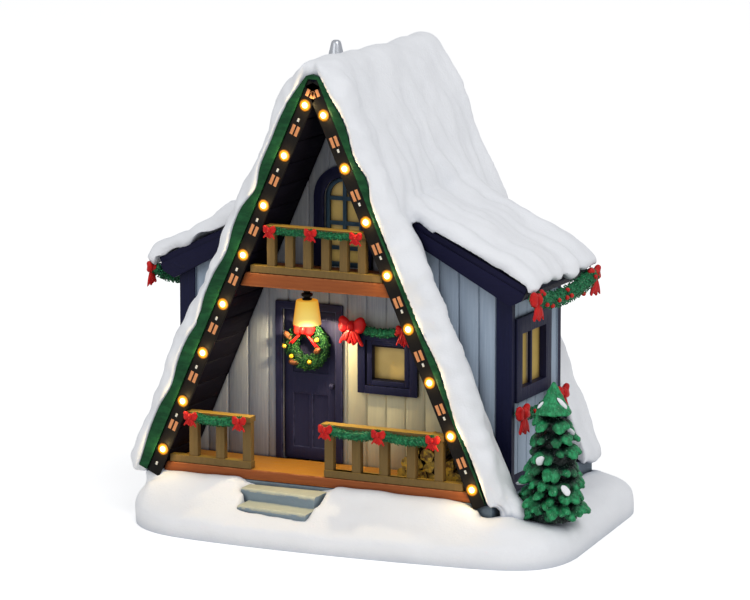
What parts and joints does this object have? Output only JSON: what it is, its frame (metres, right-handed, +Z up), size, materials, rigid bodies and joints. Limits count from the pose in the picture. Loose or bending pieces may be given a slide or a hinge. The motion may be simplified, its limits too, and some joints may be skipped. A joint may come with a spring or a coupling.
{
  "type": "model a-frame house",
  "caption": "Lit model A-frame chalet in snow: boarded walls, balcony, side wings, railings with garlands and a light strip round the gable, on a snow base with a fir",
  "frame": {"origin": "on the flat underside of the base, below the middle of the ridge and midway between the front and rear edges of the roof", "axes": "+Z up, the lit front gable faces -Y, +X is to the right of someone facing the front"},
  "size_m": [0.1781, 0.1217, 0.1716],
  "materials": {
    "snow": "satin hand-painted white over a cast body, soft folds",
    "slate": "matt slate-blue paint",
    "stone": "matt grey riser paint with a cream dry-brushed tread",
    "decking": "satin orange-brown paint with board lines",
    "terracotta": "satin terracotta paint",
    "wall": "matt pale blue-grey paint over moulded upright boards",
    "navy": "satin navy paint",
    "door": "satin dusty navy paint with dark lines in the recesses",
    "teal": "matt teal-grey paint",
    "pane": "amber translucent sheet",
    "railing": "satin khaki-brown paint",
    "garland": "green paint with a lighter dry brush, red bows",
    "trim": "satin dark green paint",
    "strip": "black flexible circuit strip with warm lamps",
    "lamp": "warm translucent shade",
    "bark": "brown paint with a golden dry brush",
    "steel": "metallic silver paint",
    "tree": "green paint with white snow dabs"
  },
  "bodies": {
    "root": {"snow_base": "snow", "porch_steps": "stone", "foundation": "slate", "porch_floor": "decking", "balcony_floor": "terracotta", "balcony_railing": "railing", "porch_railing_left": "railing", "porch_railing_right": "railing", "balcony_garland": "garland", "porch_garland_left": "garland", "porch_garland_right": "garland", "front_wall": "wall", "door": "door", "door_frame": "door", "front_window_frame": "navy", "front_window_pane": "pane", "gable_window_frame": "navy", "gable_window_sash": "teal", "gable_window_pane": "pane", "window_garland": "garland", "door_wreath": "garland", "porch_lamp": "lamp", "firewood": "bark", "rear_wall": "wall", "rear_window_frame": "navy", "rear_window_pane": "pane", "roof_left": "navy", "roof_right": "navy", "roof_snow_left": "snow", "roof_snow_right": "snow", "gable_trim": "trim", "light_strip": "strip", "stovepipe_cap": "steel", "fir_tree": "tree", "wing_left_walls": "wall", "wing_left_window_frame": "navy", "wing_left_window_pane": "pane", "wing_left_roof": "navy", "wing_left_snow": "snow", "wing_left_eave_garland": "garland", "wing_left_sill_garland": "garland", "wing_right_walls": "wall", "wing_right_window_frame": "navy", "wing_right_window_pane": "pane", "wing_right_roof": "navy", "wing_right_snow": "snow", "wing_right_eave_garland": "garland", "wing_right_sill_garland": "garland"}
  },
  "joints": []
}
